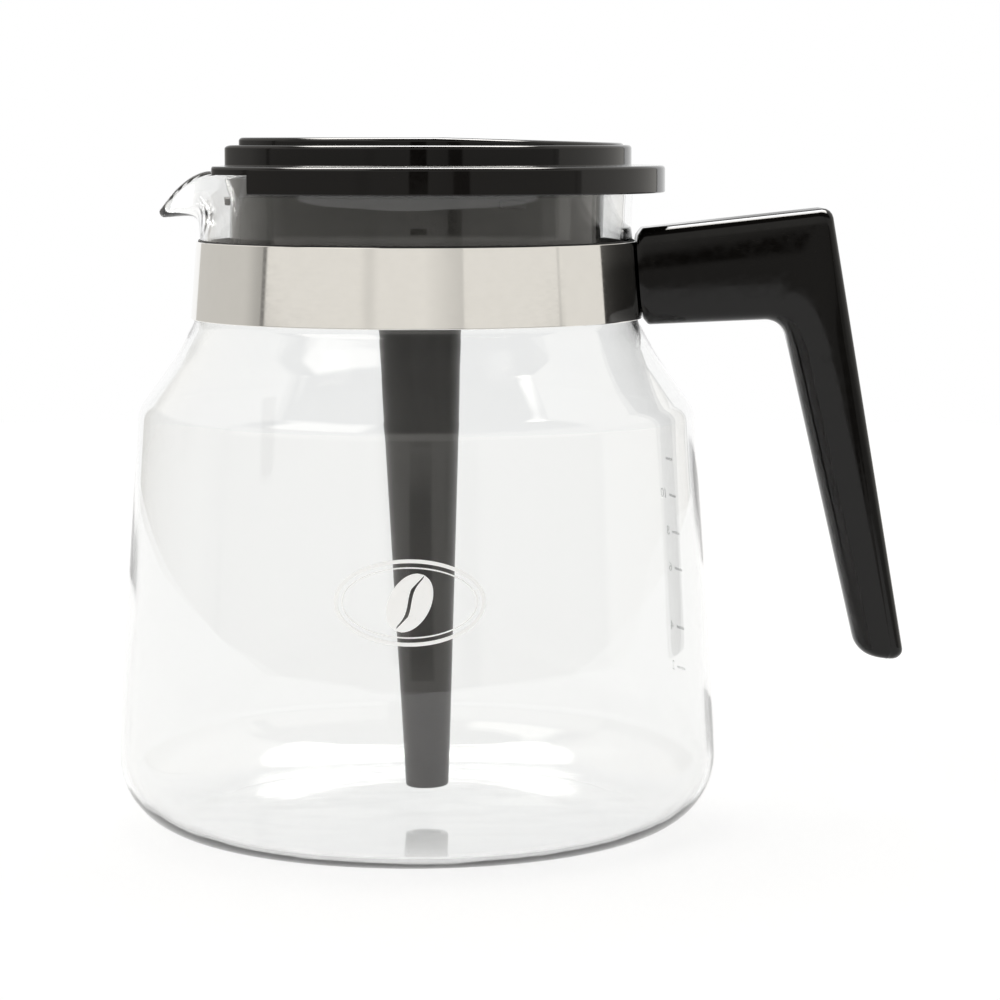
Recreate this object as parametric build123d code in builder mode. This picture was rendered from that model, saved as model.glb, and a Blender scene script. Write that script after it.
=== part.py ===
from build123d import *
import math
import os

# Glass filter-coffee jug with a steel neck band, a moulded handle and a mixing lid.
# Millimetres. The origin is the centre of the base, +Z is up, the spout points to -X
# and the handle to +X.

# Glass body: outer half section as (radius, height), and the radius that rounds each corner
base_corner = (75.3, 0.0)
base_corner_round = 17.5
waist = (73.75, 36.0)
waist_round = 800.0
shoulder = (68.95, 104.2)
shoulder_round = 8.0
shoulder_foot = (59.4, 117.5)
shoulder_foot_round = 25.0
neck_foot_height = 125.4
neck_foot_round = 4.0
neck_top_height = 148.6
neck_top_round = 40.0
rim = (53.9, 162.0)
rim_round = 1.0
glass_wall = 2.2
glass_floor = 3.0
glass_parting = 136.0

# Spout, in plan a tangent beak and in side view a drooping bill
beak_foot = 146.4
beak_root_radius = 53.2
beak_centre = -61.0
beak_round = 3.5
channel_centre = -62.8
channel_round = 1.2
spout_half_width = 40.0

# Enamel prints on the outside of the glass: a bean badge in front, a scale behind
enamel_thickness = 0.12
emblem_height = 64.9
emblem_half_width = 17.5
emblem_half_height = 10.0
emblem_line = 0.9
bean_half_length = 7.2
bean_half_width = 4.8
bean_tilt = 62.0
bean_slit = 0.9
mark_heights = (34.9, 45.2, 60.2, 69.7, 79.5, 89.3)
mark_azimuth = 19.0
mark_length = 7.0
mark_line = 0.8

# Steel band and the thin liner under it
band_bottom = 126.5
band_top = 145.7
band_radius_bottom = 55.9
band_radius_top = 54.4
band_sheet = 0.5
liner_thickness = 0.4
liner_bottom = 126.7
liner_top = 146.1

# Clamp inside the handle: the band's two ends end in eyes round one upright screw
screw_x = 63.7
eye_inner_radius = 2.15
eye_split = 136.2
eye_bottom = 130.0
eye_top = 142.4
eye_gap = 0.3
screw_radius = 1.95
screw_end = 147.2
screw_head_radius = 3.4
screw_head_bottom = 125.5
screw_head_top = 127.5
washer_top = 128.0
nut_side = 7.0
nut_bottom = 143.4
nut_top = 146.6

# Handle, side view as (x, z)
handle_top_start = (50.0, 148.1)
handle_top_end = (102.3, 153.9)
handle_grip_end = (121.6, 41.25)
handle_grip_heel = (110.05, 42.35)
handle_inner_corner = (90.6, 126.3)
handle_arm_foot = (57.6, 124.9)
handle_arm_chin = (50.0, 132.0)
handle_width = 17.0
handle_band_gap = 0.5
handle_edge_round = 2.3
pocket_length = 68.4
pocket_half_width = 3.7
pocket_bottom = 129.2

# Lid: a flanged cover with a flat on the spout side, a ring wall on top and a skirt below
flange_radius = 61.5
flange_flat = -47.7
flange_bottom = 162.3
flange_top = 164.1
lip_bottom = 157.5
lip_wall = 2.0
lip_end = -38.4
ring_radius = 53.2
ring_flat = -45.4
ring_top = 169.1
ring_wall = 1.6
ring_flat_wall = 3.2
skirt_radius_top = 46.7
skirt_radius_bottom = 45.6
skirt_wall = 1.8
skirt_bottom = 129.0
lug_radius = 49.4
lug_width = 7.0
lug_bottom = 154.2
lug_top = 156.2

# Funnel insert that drops into the ring, with the tube pushed on its spigot
insert_radius = 51.2
insert_flat = -41.8
insert_bottom = 164.4
insert_floor_top = 166.0
insert_top = 170.9
insert_wall = 2.0
insert_slope_start = 6.0
insert_slope_drop = 1.3
funnel_mouth = 39.2
funnel_throat_height = 152.0
funnel_wall = 1.6
spigot_radius = 8.1
spigot_wall = 1.3
spigot_bottom = 134.0

# Mixing tube, leaning a little towards the handle at its foot
tube_top = 148.0
tube_bottom = 9.75
tube_radius_bottom = 5.2
tube_taper = 0.0425
tube_wall = 1.5
tube_lean = 0.7


def band_radius_at(height):
    """Outer radius of the conical band, carried on above and below it."""
    slope = (band_radius_top - band_radius_bottom) / (band_top - band_bottom)
    return band_radius_bottom + slope * (height - band_bottom)


def neck_radius_at(height):
    """Outer radius of the glass where the liner and the band hold it."""
    return band_radius_at(height) - band_sheet - liner_thickness


def jug_outline(inset, floor_height, top_height, edge_round):
    """Half section of the jug body, pulled in from its outer face by inset."""
    neck_foot = (neck_radius_at(neck_foot_height), neck_foot_height)
    neck_top = (neck_radius_at(neck_top_height), neck_top_height)
    corners = [base_corner, waist, shoulder, shoulder_foot, neck_foot, neck_top, rim]
    points = [(radius - inset, height) for radius, height in corners]
    points[0] = (points[0][0], floor_height)
    points[-1] = (points[-1][0], top_height)
    rounds = [
        base_corner_round - inset,
        waist_round,
        shoulder_round,
        shoulder_foot_round,
        neck_foot_round,
        neck_top_round,
        edge_round,
    ]
    with BuildSketch(Plane.XZ) as outline:
        with BuildLine():
            FilletPolyline((0, floor_height), *points, (0, top_height), radius=rounds)
            Line((0, top_height), (0, floor_height))
        make_face()
    return outline.sketch


def flatted_disc(height, radius, flat):
    """Disc of the given radius with its -X side cut off flat at x = flat."""
    with BuildSketch(Plane.XY.offset(height)) as disc:
        Circle(radius)
        with Locations((flat - radius, 0)):
            Rectangle(2 * radius, 2 * radius, mode=Mode.SUBTRACT)
    return disc.sketch


def band_ring(outer_bottom, outer_top, thickness, bottom, top):
    """Half section of a thin conical ring."""
    with BuildSketch(Plane.XZ) as ring:
        with BuildLine():
            Polyline(
                (outer_bottom - thickness, bottom),
                (outer_bottom, bottom),
                (outer_top, top),
                (outer_top - thickness, top),
                close=True,
            )
        make_face()
    return ring.sketch


# ---------------------------------------------------------------- glass jug
# The outer shape of the spout is its plan beak cut to its side view.
with BuildPart() as spout_blank:
    with BuildSketch(Plane.XY.offset(beak_foot)):
        Circle(beak_root_radius)
        with Locations((beak_centre, 0)):
            Circle(beak_round)
        make_hull()
    extrude(amount=rim[1] - beak_foot)
    with BuildSketch(Plane.XZ):
        with BuildLine():
            Polyline((-40, rim[1]), (-40, beak_foot), (-beak_root_radius, beak_foot))
            Spline(
                (-beak_root_radius, beak_foot),
                (-54.8, 149.2),
                (-58.2, 151.2),
                tangents=((0, 1), (-1, 0)),
            )
            Line((-58.2, 151.2), (-63.3, 151.2))
            ThreePointArc((-63.3, 151.2), (-64.35, 151.7), (-64.4, 152.9))
            Spline((-64.4, 152.9), (-57.9, 159.3), (-50.8, rim[1]), tangents=((0.6, 1), (1, 0)))
            Line((-50.8, rim[1]), (-40, rim[1]))
        make_face()
    extrude(amount=spout_half_width, both=True, mode=Mode.INTERSECT)

# The pouring channel is a slimmer beak, open at the top and over the tip.
with BuildPart() as channel_blank:
    with BuildSketch(Plane.XY.offset(145)):
        Circle(beak_root_radius - glass_wall)
        with Locations((channel_centre, 0)):
            Circle(channel_round)
        make_hull()
    extrude(amount=25)
    with BuildSketch(Plane.XZ):
        with BuildLine():
            Polyline((-40, 170), (-40, 145), (-50.9, 145))
            Spline((-50.9, 145), (-52.8, 150.2), (-57.4, 153.2), tangents=((0, 1), (-1, 0)))
            Polyline((-57.4, 153.2), (-66, 152.7), (-66, 170), (-40, 170))
        make_face()
    extrude(amount=spout_half_width, both=True, mode=Mode.INTERSECT)

with BuildPart() as whole_glass:
    add(jug_outline(0, 0, rim[1], rim_round))
    revolve(axis=Axis.Z)
    add(spout_blank.part)
    add(jug_outline(glass_wall, glass_floor, rim[1] + 10, rim_round))
    revolve(axis=Axis.Z, mode=Mode.SUBTRACT)
    add(channel_blank.part, mode=Mode.SUBTRACT)

# The glass is one piece. It is parted here under the band, into a bowl and a neck ring.
with BuildPart() as glass_jug:
    add(whole_glass.part)
    split(bisect_by=Plane.XY.offset(glass_parting), keep=Keep.BOTTOM)

with BuildPart() as glass_neck:
    add(whole_glass.part)
    split(bisect_by=Plane.XY.offset(glass_parting), keep=Keep.TOP)

# ---------------------------------------------------------------- enamel prints
# A skin as thick as the enamel over the whole jug, cut to each print's shape.
with BuildPart() as enamel_skin:
    add(jug_outline(-enamel_thickness, -enamel_thickness, rim[1], rim_round))
    revolve(axis=Axis.Z)
    add(jug_outline(0, 0, rim[1], rim_round))
    revolve(axis=Axis.Z, mode=Mode.SUBTRACT)

with BuildPart() as jug_emblem:
    add(enamel_skin.part)
    with BuildSketch(Plane.XZ):
        with Locations((0, emblem_height)):
            Ellipse(emblem_half_width, emblem_half_height)
            Ellipse(
                emblem_half_width - emblem_line,
                emblem_half_height - emblem_line,
                mode=Mode.SUBTRACT,
            )
            Ellipse(bean_half_length, bean_half_width, rotation=bean_tilt)
            Rectangle(2 * bean_half_length, bean_slit, rotation=bean_tilt + 8, mode=Mode.SUBTRACT)
    extrude(amount=rim[0] + 40, mode=Mode.INTERSECT)

with BuildPart() as mark_blanks:
    for height in mark_heights:
        with BuildSketch(Plane.XY.offset(height - mark_line / 2)):
            with PolarLocations(waist[0], 1, start_angle=mark_azimuth):
                Rectangle(20, mark_length)
        extrude(amount=mark_line)

with BuildPart() as volume_marks:
    add(enamel_skin.part)
    add(mark_blanks.part, mode=Mode.INTERSECT)

# ---------------------------------------------------------------- band and liner
with BuildPart() as band_liner:
    add(
        band_ring(
            band_radius_at(liner_bottom) - band_sheet,
            band_radius_at(liner_top) - band_sheet,
            liner_thickness,
            liner_bottom,
            liner_top,
        )
    )
    revolve(axis=Axis.Z)

eye_outer_radius = eye_inner_radius + band_sheet
ear_start = 53.6
ear_length = screw_x - ear_start
ear_offset = (eye_inner_radius + eye_outer_radius) / 2
with BuildPart() as neck_band:
    add(band_ring(band_radius_bottom, band_radius_top, band_sheet, band_bottom, band_top))
    revolve(axis=Axis.Z)
    with BuildSketch(Plane.XY.offset(band_bottom)):
        with Locations((band_radius_top, 0)):
            Rectangle(10, 2 * eye_inner_radius)
    extrude(amount=band_top - band_bottom, mode=Mode.SUBTRACT)
    for side, low, high in (
        (1, eye_split + eye_gap / 2, eye_top),
        (-1, eye_bottom, eye_split - eye_gap / 2),
    ):
        with BuildSketch(Plane.XY.offset(low)):
            with Locations((ear_start + ear_length / 2, side * ear_offset)):
                Rectangle(ear_length, band_sheet)
            with Locations((screw_x, 0)):
                Circle(eye_outer_radius)
                Circle(eye_inner_radius, mode=Mode.SUBTRACT)
        extrude(amount=high - low)
    # The ears start at the band's inner face.
    with BuildSketch(Plane.XZ):
        with BuildLine():
            Polyline(
                (0, band_bottom),
                (band_radius_bottom - band_sheet, band_bottom),
                (band_radius_top - band_sheet, band_top),
                (0, band_top),
                close=True,
            )
        make_face()
    revolve(axis=Axis.Z, mode=Mode.SUBTRACT)

# ---------------------------------------------------------------- handle
with BuildPart() as handle:
    with BuildSketch(Plane.XZ):
        with BuildLine():
            FilletPolyline(
                handle_top_start,
                handle_top_end,
                handle_grip_end,
                handle_grip_heel,
                handle_inner_corner,
                handle_arm_foot,
                handle_arm_chin,
                radius=[2.6, 2.4, 6.0, 5.0, 0.6],
            )
            Line(handle_arm_chin, handle_top_start)
        make_face()
    extrude(amount=handle_width / 2, both=True)
    side_faces = handle.faces().filter_by(Axis.Y)
    outline_edges = side_faces.edges().filter_by(lambda edge: edge.center().X > 51)
    fillet(outline_edges, radius=handle_edge_round)
    # The face that meets the band is hollowed to the band's own cone.
    with BuildSketch(Plane.XZ):
        with BuildLine():
            Polyline(
                (0, 120),
                (band_radius_at(120) + handle_band_gap, 120),
                (band_radius_at(147) + handle_band_gap, 147),
                (band_radius_at(147) + handle_band_gap + 1.2, 149.5),
                (band_radius_at(147) + handle_band_gap + 1.2, 156),
                (0, 156),
                close=True,
            )
        make_face()
    revolve(axis=Axis.Z, mode=Mode.SUBTRACT)
    # Pocket for the band's eyes, seat for the nut and the hole with its screw recess.
    with BuildSketch(Plane.XY.offset(pocket_bottom)):
        with Locations(((50 + pocket_length) / 2, 0)):
            Rectangle(pocket_length - 50, 2 * pocket_half_width)
    extrude(amount=nut_bottom - pocket_bottom, mode=Mode.SUBTRACT)
    with BuildSketch(Plane.XY.offset(nut_bottom)):
        with Locations((screw_x, 0)):
            Rectangle(nut_side + 0.2, nut_side + 0.2)
    extrude(amount=nut_top - nut_bottom, mode=Mode.SUBTRACT)
    with BuildSketch(Plane.XY.offset(120)):
        with Locations((screw_x, 0)):
            Circle(screw_radius + 0.25)
    extrude(amount=screw_end + 0.4 - 120, mode=Mode.SUBTRACT)
    with BuildSketch(Plane.XY.offset(120)):
        with Locations((screw_x, 0)):
            Circle(screw_head_radius + 0.3)
    extrude(amount=washer_top - 120, mode=Mode.SUBTRACT)

with BuildPart() as clamp_screw:
    with BuildSketch(Plane.XY.offset(screw_head_bottom)):
        with Locations((screw_x, 0)):
            Circle(screw_head_radius)
    extrude(amount=screw_head_top - screw_head_bottom)
    fillet(clamp_screw.edges().group_by(Axis.Z)[0], radius=0.6)
    with BuildSketch(Plane.XY.offset(screw_head_top)):
        with Locations((screw_x, 0)):
            Circle(screw_radius)
    extrude(amount=screw_end - screw_head_top)
    with BuildSketch(Plane.XY.offset(screw_head_bottom)):
        with Locations((screw_x, 0)):
            Rectangle(5.0, 0.9)
            Rectangle(0.9, 5.0)
    extrude(amount=1.1, mode=Mode.SUBTRACT)

with BuildPart() as spring_washer:
    with BuildSketch(Plane.XY.offset(screw_head_top)):
        with Locations((screw_x, 0)):
            Circle(screw_head_radius)
            Circle(screw_radius + 0.15, mode=Mode.SUBTRACT)
            with Locations((3, 0)):
                Rectangle(3, 0.5, mode=Mode.SUBTRACT)
    extrude(amount=washer_top - screw_head_top)

with BuildPart() as square_nut:
    with BuildSketch(Plane.XY.offset(nut_bottom)):
        with Locations((screw_x, 0)):
            Rectangle(nut_side, nut_side)
            Circle(screw_radius + 0.05, mode=Mode.SUBTRACT)
    extrude(amount=nut_top - nut_bottom)

# ---------------------------------------------------------------- lid cover
ring_inner_radius = ring_radius - ring_wall
ring_inner_flat = ring_flat + ring_flat_wall
with BuildPart() as lid_cover:
    add(flatted_disc(flange_bottom, flange_radius, flange_flat))
    extrude(amount=flange_top - flange_bottom)
    fillet(lid_cover.edges().group_by(Axis.Z)[-1], radius=0.6)
    # Lip round the rim, left out where the spout passes
    with BuildSketch(Plane.XY.offset(lip_bottom)):
        Circle(flange_radius)
        Circle(flange_radius - lip_wall, mode=Mode.SUBTRACT)
        with Locations((lip_end - flange_radius, 0)):
            Rectangle(2 * flange_radius, 3 * flange_radius, mode=Mode.SUBTRACT)
    extrude(amount=flange_bottom - lip_bottom)
    # Ring wall on top
    add(flatted_disc(flange_top, ring_radius, ring_flat))
    extrude(amount=ring_top - flange_top)
    fillet(lid_cover.edges().group_by(Axis.Z)[-1], radius=0.5)
    add(flatted_disc(flange_top, ring_inner_radius, ring_inner_flat))
    extrude(amount=ring_top - flange_top, mode=Mode.SUBTRACT)
    # Skirt down into the neck, open at its bottom
    with BuildSketch(Plane.XZ):
        with BuildLine():
            Polyline(
                (skirt_radius_bottom - skirt_wall, skirt_bottom),
                (skirt_radius_bottom, skirt_bottom),
                (skirt_radius_top, flange_bottom),
                (skirt_radius_top - skirt_wall, flange_bottom),
                close=True,
            )
        make_face()
    revolve(axis=Axis.Z)
    add(flatted_disc(flange_bottom, skirt_radius_top - skirt_wall, ring_inner_flat))
    extrude(amount=flange_top - flange_bottom, mode=Mode.SUBTRACT)
    # Lugs that centre the skirt in the neck
    lug_root = skirt_radius_bottom
    with BuildSketch(Plane.XY.offset(lug_bottom)):
        with PolarLocations((lug_root + lug_radius) / 2, 3, start_angle=180):
            Rectangle(lug_radius - lug_root, lug_width)
    extrude(amount=lug_top - lug_bottom)

# ---------------------------------------------------------------- funnel insert
throat_radius = spigot_radius - spigot_wall
with BuildPart() as funnel_insert:
    add(flatted_disc(insert_bottom, insert_radius, insert_flat))
    extrude(amount=insert_top - insert_bottom)
    fillet(funnel_insert.edges().group_by(Axis.Z)[-1], radius=0.8)
    add(flatted_disc(insert_floor_top, insert_radius - insert_wall, insert_flat + insert_wall))
    extrude(amount=insert_top - insert_floor_top, mode=Mode.SUBTRACT)
    # The rim falls away towards the handle.
    with BuildSketch(Plane.XZ):
        with BuildLine():
            Polyline(
                (insert_slope_start, insert_top),
                (insert_radius, insert_top - insert_slope_drop),
                (insert_radius + 5, insert_top - insert_slope_drop),
                (insert_radius + 5, insert_top + 1),
                (insert_slope_start, insert_top + 1),
                close=True,
            )
        make_face()
    extrude(amount=insert_radius + 5, both=True, mode=Mode.SUBTRACT)
    # Cone and spigot
    with BuildSketch(Plane.XZ):
        with BuildLine():
            Polyline(
                (funnel_mouth + funnel_wall, insert_bottom),
                (funnel_mouth + funnel_wall, insert_bottom - 0.2),
                (spigot_radius, funnel_throat_height - funnel_wall),
                (spigot_radius, spigot_bottom),
                (throat_radius, spigot_bottom),
                (0, spigot_bottom),
                (0, insert_bottom),
                close=True,
            )
        make_face()
    revolve(axis=Axis.Z)
    with BuildSketch(Plane.XZ):
        with BuildLine():
            Polyline(
                (0, insert_floor_top),
                (funnel_mouth, insert_floor_top),
                (throat_radius, funnel_throat_height),
                (throat_radius, spigot_bottom),
                (0, spigot_bottom),
                close=True,
            )
        make_face()
    revolve(axis=Axis.Z, mode=Mode.SUBTRACT)

# ---------------------------------------------------------------- mixing tube
# Drawn on its own leaning axis, which crosses the jug's axis at the tube's top.
lean = math.radians(tube_lean)
tube_plane = Plane(
    origin=(0, 0, tube_top),
    x_dir=(math.cos(lean), 0, math.sin(lean)),
    z_dir=(0, -1, 0),
)
tube_length = tube_top - tube_bottom
tube_radius_top = tube_radius_bottom + tube_taper * tube_length
with BuildPart() as mixing_tube:
    with BuildSketch(tube_plane):
        with BuildLine():
            FilletPolyline(
                (tube_radius_top - tube_wall - 0.6, 0),
                (tube_radius_top, 0),
                (tube_radius_bottom, -tube_length),
                (tube_radius_bottom - tube_wall, -tube_length),
                radius=[0.4, 0.7],
            )
            Line(
                (tube_radius_bottom - tube_wall, -tube_length),
                (tube_radius_top - tube_wall - 0.6, 0),
            )
        make_face()
    revolve(axis=Axis((0, 0, tube_top), (math.sin(lean), 0, -math.cos(lean))))

# ---------------------------------------------------------------- labels and files
os.makedirs("parts", exist_ok=True)
pieces = {
    "glass_jug": glass_jug,
    "glass_neck": glass_neck,
    "jug_emblem": jug_emblem,
    "volume_marks": volume_marks,
    "band_liner": band_liner,
    "neck_band": neck_band,
    "handle": handle,
    "clamp_screw": clamp_screw,
    "spring_washer": spring_washer,
    "square_nut": square_nut,
    "lid_cover": lid_cover,
    "funnel_insert": funnel_insert,
    "mixing_tube": mixing_tube,
}
for name, piece in pieces.items():
    piece.part.label = name
    export_step(piece.part, f"parts/{name}.step")
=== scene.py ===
"""A glass filter-coffee jug with a steel neck band, a clamped handle and a mixing lid."""

import math

import bpy
import numpy as np
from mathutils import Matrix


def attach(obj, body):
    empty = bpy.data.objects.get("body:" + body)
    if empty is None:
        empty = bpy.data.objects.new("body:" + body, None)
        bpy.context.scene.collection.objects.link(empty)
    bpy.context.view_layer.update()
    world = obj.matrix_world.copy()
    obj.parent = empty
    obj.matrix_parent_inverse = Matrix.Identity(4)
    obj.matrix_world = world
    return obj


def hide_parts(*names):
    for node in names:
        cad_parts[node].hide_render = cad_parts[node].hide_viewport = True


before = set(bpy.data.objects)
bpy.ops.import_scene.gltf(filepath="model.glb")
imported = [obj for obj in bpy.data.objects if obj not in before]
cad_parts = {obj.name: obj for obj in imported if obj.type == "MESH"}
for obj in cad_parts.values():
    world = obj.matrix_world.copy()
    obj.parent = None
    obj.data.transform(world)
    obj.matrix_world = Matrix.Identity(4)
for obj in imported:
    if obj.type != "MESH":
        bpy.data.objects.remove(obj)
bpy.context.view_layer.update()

# ------------------------------------------------------------------ Glass jug
# Clear heat-proof glass, blown into a mould, with a thicker floor and neck than wall. The rim is
# melted round over a flame, and the spout is drawn out of it while the glass is soft.
MM = 0.001
band_low, band_high = 126.5, 145.5
band_low_radius, band_high_radius = 55.9, 54.4
band_sheet = 0.5
liner_wall = 0.4
rim_height = 162.0
glass_wall = 1.4
glass_floor = 1.9
spout_foot = 146.4
spout_spread = math.radians(36.0)


def band_radius(height):
    """Outer radius of the band's cone: a straight line between its two edge radii."""
    return np.interp(height, (100, 160), band_low_radius + (np.array((100, 160)) - band_low)
                     * (band_high_radius - band_low_radius) / (band_high - band_low))


def rounded_line(corners, rounds, spacing, guard=0.12):
    """Line through the corners, with an arc of the given radius at each inner one, that
    starts radius x tan(half the turn) before it. Straight runs are cut to the spacing, and
    a guard point close to both ends of each run keeps the shading of the flats flat."""
    corners = np.asarray(corners, float)
    along = np.diff(corners, axis=0)
    along /= np.linalg.norm(along, axis=1)[:, None]
    arcs = [corners[:1]]
    for corner, radius, before, after in zip(corners[1:-1], rounds, along, along[1:]):
        turn = math.atan2(before[0] * after[1] - before[1] * after[0], before @ after)
        inward = np.array([-before[1], before[0]]) * math.copysign(1, turn)
        angle = np.linspace(0, abs(turn), max(3, int(abs(turn) / 0.09) + 2))[:, None]
        start = corner - before * radius * math.tan(abs(turn) / 2)
        arcs.append(start + radius * (np.sin(angle) * before + (1 - np.cos(angle)) * inward))
    arcs.append(corners[-1:])
    parts = [corners[:1]]
    for before, after in zip(arcs, arcs[1:]):
        run = after[:1] - before[-1:]
        inset = run * min(guard / np.linalg.norm(run), 1 / 3)
        parts += [before[-1:] + inset, after[:1] - inset, after]
    points = np.concatenate(parts)
    cuts = np.ceil(np.linalg.norm(np.diff(points, axis=0), axis=1) / spacing)
    cuts = np.maximum(cuts, 1).astype(int)
    place = np.repeat(np.arange(len(cuts)), cuts) + np.concatenate([np.arange(n) / n for n in cuts])
    place = np.append(place, len(cuts))
    whole = np.arange(len(points))
    return np.stack([np.interp(place, whole, points[:, k]) for k in (0, 1)], axis=1)


def crowded(count, centres, width, strength):
    """Angles once round the circle, closer together near the centres: equal shares of the
    running total of 1 plus a bell of the given strength and width at each centre."""
    fine = np.linspace(0, 2 * np.pi, 7201)
    gap = (fine[:, None] - np.asarray(centres) + np.pi) % (2 * np.pi) - np.pi
    density = 1 + strength * np.exp(-((gap / width) ** 2)).sum(axis=1)
    total = np.concatenate([[0], np.cumsum(density[:-1])])
    return np.interp(np.arange(count) / count * total[-1], total, fine)


def shell(rings, low_pole=None, high_pole=None, loop=False):
    """Points and faces of a skin over rings of points, each ring joined to the next by
    four-sided faces. A pole closes an end with a fan; a loop joins the last to the first."""
    rows, columns = rings.shape[:2]
    index = np.arange(rows * columns).reshape(rows, columns)
    lower = index if loop else index[:-1]
    upper = np.roll(index, -1, axis=0) if loop else index[1:]
    quads = np.stack([lower, np.roll(lower, -1, 1), np.roll(upper, -1, 1), upper], axis=-1)
    quads = quads.reshape(-1, 4)
    points = [rings.reshape(-1, 3)]
    fans = [np.empty((0, 3), int)]
    tip = rows * columns
    if low_pole is not None:
        points.append(np.reshape(low_pole, (1, 3)))
        fans.append(np.stack([np.full(columns, tip), np.roll(index[0], -1), index[0]], axis=1))
        tip += 1
    if high_pole is not None:
        points.append(np.reshape(high_pole, (1, 3)))
        fans.append(np.stack([index[-1], np.roll(index[-1], -1), np.full(columns, tip)], axis=1))
    points = np.concatenate(points)
    fans = np.concatenate(fans)
    corners = np.concatenate([quads[:, [0, 1, 2]], quads[:, [0, 2, 3]], fans])
    a, b, c = (points[corners[:, k]] for k in range(3))
    if (a * np.cross(b, c)).sum() < 0:
        quads, fans = quads[:, ::-1], fans[:, ::-1]
    return points, quads, fans


def piece(name, shells, material, sharp=35):
    """Object made of shells given in millimetres. Edges that turn by more than the sharp
    angle in degrees stay crisp, and the rest are shaded smooth."""
    starts = np.cumsum([0] + [len(points) for points, _, _ in shells])
    points = np.concatenate([points for points, _, _ in shells]) * MM
    faces = []
    for start, (_, quads, fans) in zip(starts, shells):
        faces += (quads + start).tolist() + (fans + start).tolist()
    mesh = bpy.data.meshes.new(name)
    mesh.from_pydata(points.tolist(), [], faces)
    mesh.polygons.foreach_set("use_smooth", np.ones(len(mesh.polygons), bool))
    mesh.set_sharp_from_angle(angle=math.radians(sharp))
    mesh.materials.append(material)
    made = bpy.data.objects.new(name, mesh)
    bpy.context.scene.collection.objects.link(made)
    return made


def round_about(profile, angle):
    """Rings of a turned shape: each profile point (radius, height) swept round the axis."""
    radius, height = profile[:, :1], profile[:, 1:]
    return np.stack([radius * np.cos(angle), radius * np.sin(angle), height + 0 * angle], axis=-1)


def finish(name, **sockets):
    """New material and its shader, with the named shader sockets set on the shader itself."""
    made = bpy.data.materials.new(name)
    made.use_nodes = True
    shader = made.node_tree.nodes["Principled BSDF"]
    for socket, value in sockets.items():
        shader.inputs[socket.replace("_", " ")].default_value = value
    return made, shader


def noise(tree, scale, detail=2.0, stretch=(1, 1, 1)):
    """Noise from 0 to 1 on the piece's own place in metres, with the given size per metre."""
    place = tree.nodes.new("ShaderNodeTexCoord")
    mapping = tree.nodes.new("ShaderNodeMapping")
    mapping.inputs["Scale"].default_value = stretch
    texture = tree.nodes.new("ShaderNodeTexNoise")
    texture.inputs["Scale"].default_value = scale
    texture.inputs["Detail"].default_value = detail
    tree.links.new(place.outputs["Object"], mapping.inputs["Vector"])
    tree.links.new(mapping.outputs["Vector"], texture.inputs["Vector"])
    return texture.outputs["Fac"]


def remap(tree, value, old_low, old_high, new_low, new_high, smooth=False):
    """The value carried from one range to another and held at its ends."""
    step = tree.nodes.new("ShaderNodeMapRange")
    step.interpolation_type = "SMOOTHSTEP" if smooth else "LINEAR"
    tree.links.new(value, step.inputs["Value"])
    for k, number in enumerate((old_low, old_high, new_low, new_high), start=1):
        step.inputs[k].default_value = number
    return step.outputs["Result"]


def two_tone(tree, value, first, second):
    """Colour between two tones by a value from 0 to 1."""
    ramp = tree.nodes.new("ShaderNodeValToRGB")
    ramp.color_ramp.elements[0].color = (*first, 1)
    ramp.color_ramp.elements[1].color = (*second, 1)
    tree.links.new(value, ramp.inputs["Fac"])
    return ramp.outputs["Color"]


def relief(tree, shader, height, depth):
    """Bump of the given depth in metres from a height between 0 and 1."""
    bump = tree.nodes.new("ShaderNodeBump")
    bump.inputs["Strength"].default_value = 1.0
    bump.inputs["Distance"].default_value = depth
    tree.links.new(height, bump.inputs["Height"])
    tree.links.new(bump.outputs["Normal"], shader.inputs["Normal"])


outline = rounded_line(
    [(0.8, 0), (75.3, 0), (73.75, 36), (68.95, 104.2), (59.4, 117.5),
     (band_radius(125.4) - band_sheet - liner_wall, 125.4),
     (band_radius(spout_foot) - band_sheet - liner_wall, spout_foot)],
    [17.5, 800, 8.0, 25, 4],
    1.8,
)
jug_angle = crowded(224, [np.pi], 0.5, 2.6)
body_rings = round_about(outline, jug_angle)

# The spout's plan is a tangent beak, and its lip falls towards the tip.
aside = np.abs(jug_angle - np.pi)
blunt = np.sqrt(aside**2 + 0.045**2)
beak = np.where(blunt < spout_spread, 1 / np.cos(np.clip(spout_spread - blunt, 0, None)), 1.0)
drawn = (beak - 1) / (beak.max() - 1)
lip_radius = 53.9 + (62.2 - 53.9) * drawn
lip_reach = lip_radius * np.cos(aside)
lip_height = rim_height - 0.6 - 10.2 * np.clip((lip_reach - 49.5) / 12.7, 0, 1) ** 1.8
tilt = np.radians(3 + 92 * drawn**0.75)
foot_radius = band_radius(spout_foot) - band_sheet - liner_wall
lean_in = -0.078
step = np.linspace(0, 1, 31)[1:, None]
reach_up = 5.2 + 0.5 * drawn
reach_back = 5.2 + 3.6 * drawn
knots = (
    (foot_radius + 0 * aside, spout_foot + 0 * aside),
    (foot_radius + lean_in * reach_up * (1 - 3 * drawn), spout_foot + reach_up),
    (lip_radius - reach_back * np.sin(tilt), lip_height - reach_back * np.cos(tilt)),
    (lip_radius, lip_height),
)
weights = ((1 - step) ** 3, 3 * step * (1 - step) ** 2, 3 * step**2 * (1 - step), step**3)
neck_radius = sum(weight * knot[0] for weight, knot in zip(weights, knots))
neck_height = sum(weight * knot[1] for weight, knot in zip(weights, knots))
neck_rings = np.stack(
    [neck_radius * np.cos(jug_angle), neck_radius * np.sin(jug_angle), neck_height], axis=-1
)
outer = np.concatenate([body_rings, neck_rings])

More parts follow.
